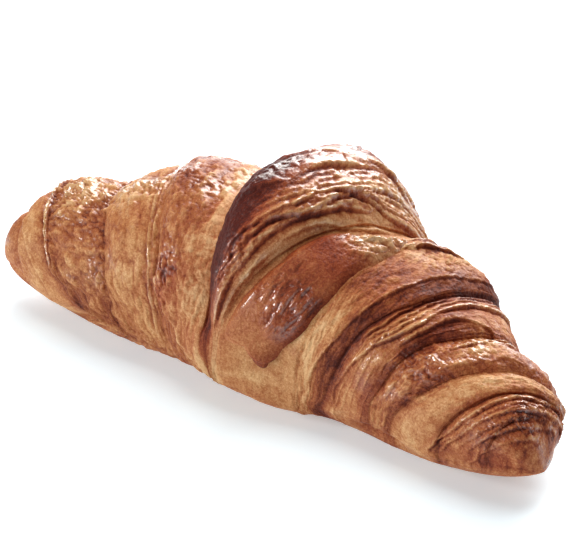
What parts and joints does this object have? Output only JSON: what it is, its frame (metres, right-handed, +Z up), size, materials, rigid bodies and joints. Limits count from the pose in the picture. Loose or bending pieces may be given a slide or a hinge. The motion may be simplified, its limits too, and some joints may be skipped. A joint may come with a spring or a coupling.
{
  "type": "croissant",
  "caption": "Baked croissant with rolled, stepped wraps that taper from a high middle to two blunt, slightly bent horns, and a tongue of dough on its front.",
  "frame": {"origin": "middle of the underside of the bounding box, where the croissant rests", "axes": "+X along the roll towards its right horn, -Y the front with the tongue, +Z up"},
  "size_m": [0.17, 0.0702, 0.0561],
  "materials": {
    "baked_crust": "egg-washed, baked laminated dough, golden tan to deep brown, glossy on the browned ridges and matte on the pale newly opened dough"
  },
  "bodies": {
    "root": {"croissant": "baked_crust"}
  },
  "joints": []
}
